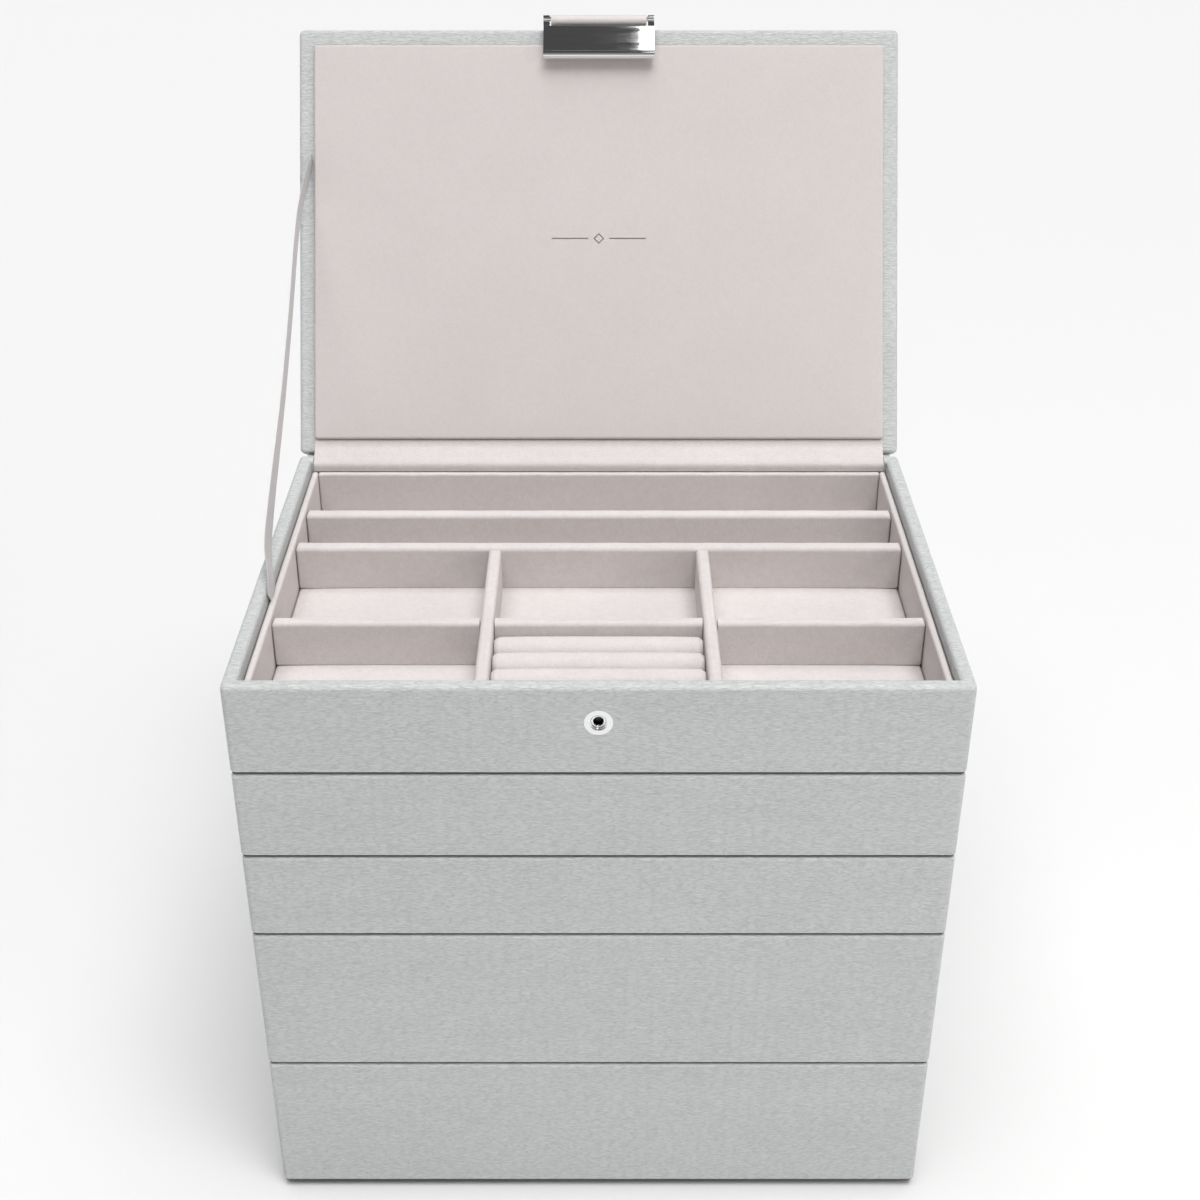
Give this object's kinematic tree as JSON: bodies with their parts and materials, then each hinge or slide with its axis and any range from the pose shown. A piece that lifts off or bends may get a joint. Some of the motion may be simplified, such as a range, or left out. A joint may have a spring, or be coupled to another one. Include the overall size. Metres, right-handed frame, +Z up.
{
  "type": "stackable jewelry box",
  "caption": "Stack of five leather-wrapped jewelry trays with velvet compartments, the top one with a hinged padded lid and a flip clasp.",
  "frame": {"origin": "centre of the flat underside of the bottom tray's foot board", "axes": "+Z up, +X to the right seen from the front, the front with the clasp socket faces -Y"},
  "size_m": [0.25, 0.2749, 0.3967],
  "materials": {
    "leather": "pale grey faux leather with a fine pebble grain, satin",
    "velvet": "warm pinkish grey short-pile velvet",
    "tab": "pinkish grey woven tab",
    "satin": "pale grey satin ribbon",
    "chrome": "mirror-polished chrome",
    "dark_metal": "blackened spring steel"
  },
  "bodies": {
    "tray_5": {"tray_5_shell": "leather", "tray_5_foot": "velvet", "tray_5_liner": "velvet", "tray_5_floor_pad": "velvet", "tray_5_cross_divider_1": "velvet"},
    "tray_4": {"tray_4_shell": "leather", "tray_4_foot": "velvet", "tray_4_liner": "velvet", "tray_4_floor_pad": "velvet", "tray_4_long_divider_1": "velvet", "tray_4_cross_divider_1": "velvet"},
    "tray_3": {"tray_3_shell": "leather", "tray_3_foot": "velvet", "tray_3_liner": "velvet", "tray_3_floor_pad": "velvet", "tray_3_long_divider_1": "velvet", "tray_3_long_divider_2": "velvet"},
    "tray_2": {"tray_2_shell": "leather", "tray_2_foot": "velvet", "tray_2_liner": "velvet", "tray_2_floor_pad": "velvet", "tray_2_long_divider_1": "velvet", "tray_2_cross_divider_1": "velvet", "tray_2_cross_divider_2": "velvet", "tray_2_cross_divider_3": "velvet"},
    "tray_1": {"tray_1_shell": "leather", "tray_1_foot": "velvet", "tray_1_liner": "velvet", "tray_1_floor_pad": "velvet", "tray_1_long_divider_1": "velvet", "tray_1_long_divider_2": "velvet", "tray_1_long_divider_3": "velvet", "tray_1_cross_divider_1": "velvet", "tray_1_cross_divider_2": "velvet", "ring_roll_1": "velvet", "ring_roll_2": "velvet", "ring_roll_3": "velvet", "ring_roll_4": "velvet", "snap_socket": "chrome", "snap_cup": "dark_metal", "snap_spring": "dark_metal", "hinge_velvet": "velvet", "hinge_leather": "leather", "lid_ribbon": "satin"},
    "lid": {"lid_board": "leather", "lid_lining": "velvet", "clasp_tab": "tab"},
    "clasp_plate": {"clasp_plate": "chrome", "clasp_bar": "chrome", "clasp_stud": "chrome"}
  },
  "joints": [
    {"name": "tray_4_lift", "type": "slide", "parent": "tray_5", "child": "tray_4", "axis": [0, 0, 1], "range_m": [0, 0.1]},
    {"name": "tray_3_lift", "type": "slide", "parent": "tray_4", "child": "tray_3", "axis": [0, 0, 1], "range_m": [0, 0.1]},
    {"name": "tray_2_lift", "type": "slide", "parent": "tray_3", "child": "tray_2", "axis": [0, 0, 1], "range_m": [0, 0.1]},
    {"name": "tray_1_lift", "type": "slide", "parent": "tray_2", "child": "tray_1", "axis": [0, 0, 1], "range_m": [0, 0.1]},
    {"name": "lid_hinge", "type": "hinge", "parent": "tray_1", "child": "lid", "pos_m": [0, 0.0893, 0.2367], "axis": [1, 0, 0], "range_deg": [0, 119.4], "deforming": ["hinge_velvet", "hinge_leather", "lid_ribbon"]},
    {"name": "clasp_swing", "type": "hinge", "parent": "lid", "child": "clasp_plate", "pos_m": [0, 0.17626, 0.39511], "axis": [1, 0, 0], "range_deg": [-76, 0]}
  ],
  "couplings": [
    {"joint": "clasp_swing", "follows": "lid_hinge", "ratio": -0.6365}
  ]
}
